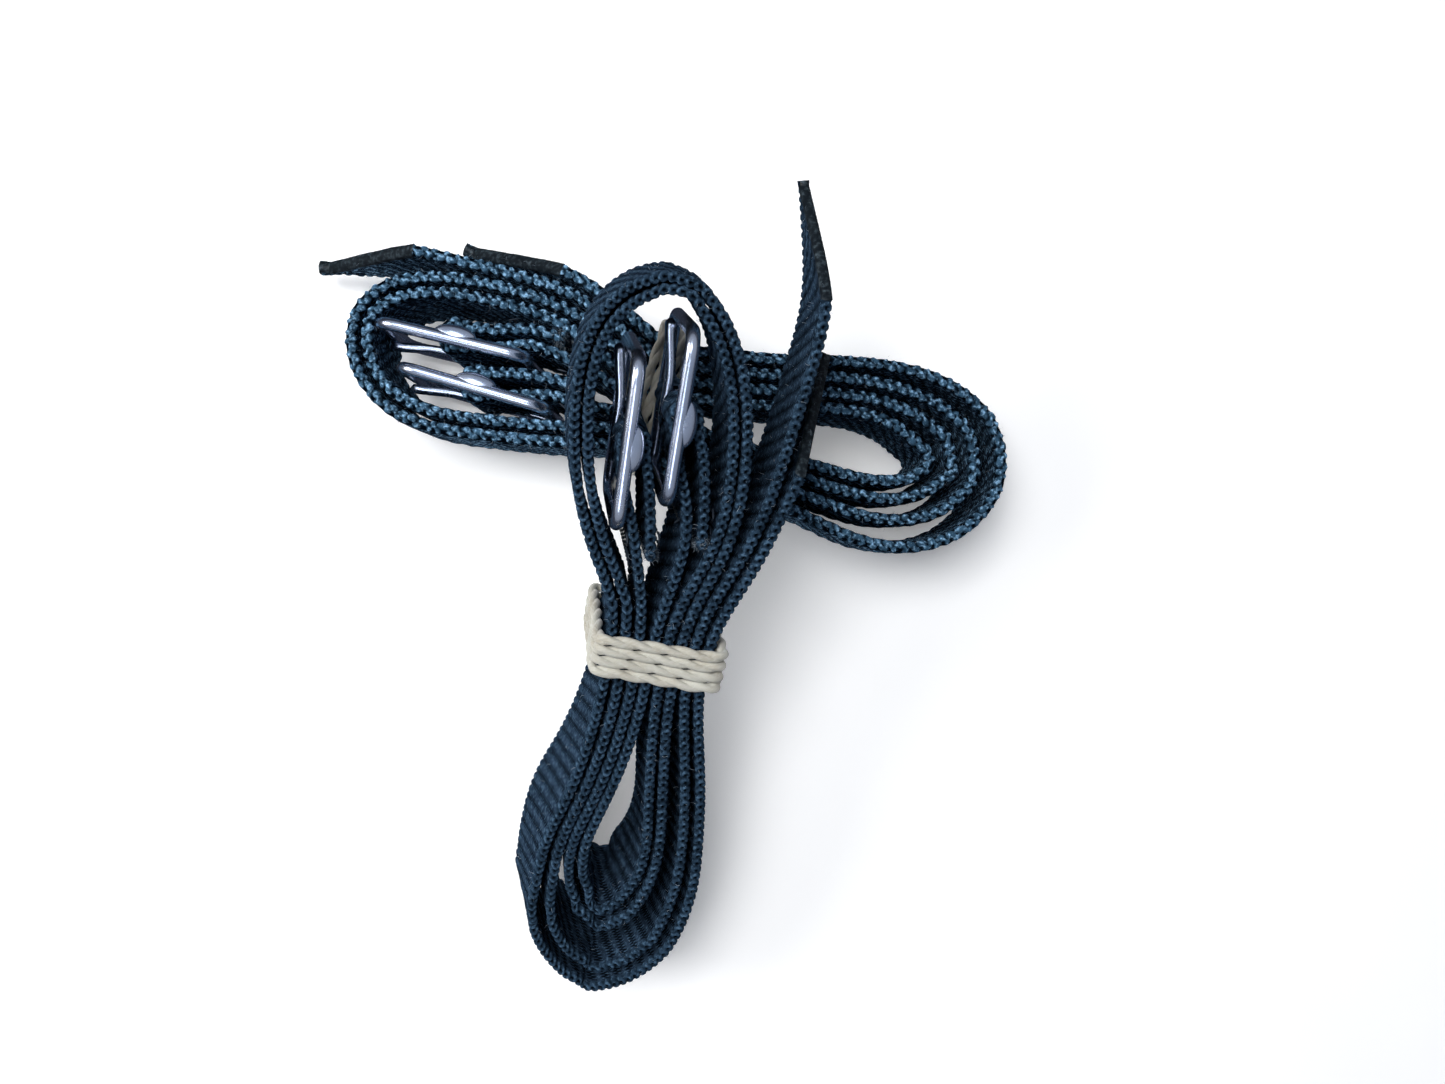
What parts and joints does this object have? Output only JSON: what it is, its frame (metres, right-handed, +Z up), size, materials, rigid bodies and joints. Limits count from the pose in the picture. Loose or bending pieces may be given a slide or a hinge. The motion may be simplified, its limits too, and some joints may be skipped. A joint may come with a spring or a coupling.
{
  "type": "pair of tied webbing buckle-strap hanks",
  "caption": "Narrow webbing straps with centre-bar tongue buckles, rolled up in pairs and tied with cord, one hank lying across the other.",
  "frame": {"origin": "middle of the base of the bounding box, on the table that the hanks lie on", "axes": "+Z up from the table, +Y along the front hank towards its buckle end and long tail, +X to the right, towards the rear hank's plain loops"},
  "size_m": [0.1498, 0.1604, 0.0692],
  "materials": {
    "front_webbing": "matte woven, slate navy",
    "rear_webbing": "coarse woven, navy with lighter flecks",
    "buckle_metal": "polished plated steel casting",
    "tie_cord": "undyed two-ply twisted twine",
    "sewing_thread": "dark polyester sewing thread"
  },
  "bodies": {
    "front_hank": {"front_strap_outer": "front_webbing", "front_strap_inner": "front_webbing", "front_tie_cord": "tie_cord", "front_needle_thread_1": "sewing_thread", "front_bobbin_thread_1": "sewing_thread", "front_needle_thread_2": "sewing_thread", "front_bobbin_thread_2": "sewing_thread"},
    "rear_hank": {"rear_strap_outer": "rear_webbing", "rear_strap_inner": "rear_webbing", "rear_tie_cord": "tie_cord", "rear_needle_thread_1": "sewing_thread", "rear_bobbin_thread_1": "sewing_thread", "rear_needle_thread_2": "sewing_thread", "rear_bobbin_thread_2": "sewing_thread"},
    "front_buckle_frame_1": {"front_buckle_frame_1": "buckle_metal"},
    "front_buckle_tongue_1": {"front_buckle_tongue_1": "buckle_metal"},
    "front_buckle_frame_2": {"front_buckle_frame_2": "buckle_metal"},
    "front_buckle_tongue_2": {"front_buckle_tongue_2": "buckle_metal"},
    "rear_buckle_frame_1": {"rear_buckle_frame_1": "buckle_metal"},
    "rear_buckle_tongue_1": {"rear_buckle_tongue_1": "buckle_metal"},
    "rear_buckle_frame_2": {"rear_buckle_frame_2": "buckle_metal"},
    "rear_buckle_tongue_2": {"rear_buckle_tongue_2": "buckle_metal"}
  },
  "joints": [
    {"name": "front_hank_lift", "type": "slide", "parent": "rear_hank", "child": "front_hank", "axis": [0, 0, 1], "range_m": [0, 0.06]},
    {"name": "front_buckle_1_on_strap", "type": "hinge", "parent": "front_hank", "child": "front_buckle_frame_1", "pos_m": [-0.00262, 0.03398, 0.04788], "axis": [0.1526, -0.3209, 0.9348], "range_deg": [-2.5, 1.75]},
    {"name": "front_tongue_1_on_bar", "type": "hinge", "parent": "front_buckle_frame_1", "child": "front_buckle_tongue_1", "pos_m": [-0.00262, 0.03398, 0.04788], "axis": [0.1526, -0.3209, 0.9348], "range_deg": [0, 6.5]},
    {"name": "front_buckle_2_on_strap", "type": "hinge", "parent": "front_hank", "child": "front_buckle_frame_2", "pos_m": [0.00654, 0.0382, 0.04921], "axis": [0.152, -0.3225, 0.9343], "range_deg": [-0.75, 5]},
    {"name": "front_tongue_2_on_bar", "type": "hinge", "parent": "front_buckle_frame_2", "child": "front_buckle_tongue_2", "pos_m": [0.00654, 0.0382, 0.04921], "axis": [0.152, -0.3225, 0.9343], "range_deg": [0, 12]},
    {"name": "rear_buckle_1_on_strap", "type": "hinge", "parent": "rear_hank", "child": "rear_buckle_frame_1", "pos_m": [-0.03542, 0.04562, 0.01706], "axis": [0.0416, 0, 0.9991], "range_deg": [-2, 1]},
    {"name": "rear_tongue_1_on_bar", "type": "hinge", "parent": "rear_buckle_frame_1", "child": "rear_buckle_tongue_1", "pos_m": [-0.03542, 0.04562, 0.01706], "axis": [0.0416, 0, 0.9991], "range_deg": [0, 1.5]},
    {"name": "rear_buckle_2_on_strap", "type": "hinge", "parent": "rear_hank", "child": "rear_buckle_frame_2", "pos_m": [-0.03956, 0.05533, 0.01723], "axis": [0.0416, 0, 0.9991], "range_deg": [-0.5, 1]},
    {"name": "rear_tongue_2_on_bar", "type": "hinge", "parent": "rear_buckle_frame_2", "child": "rear_buckle_tongue_2", "pos_m": [-0.03956, 0.05533, 0.01723], "axis": [0.0416, 0, 0.9991], "range_deg": [0, 12]}
  ]
}
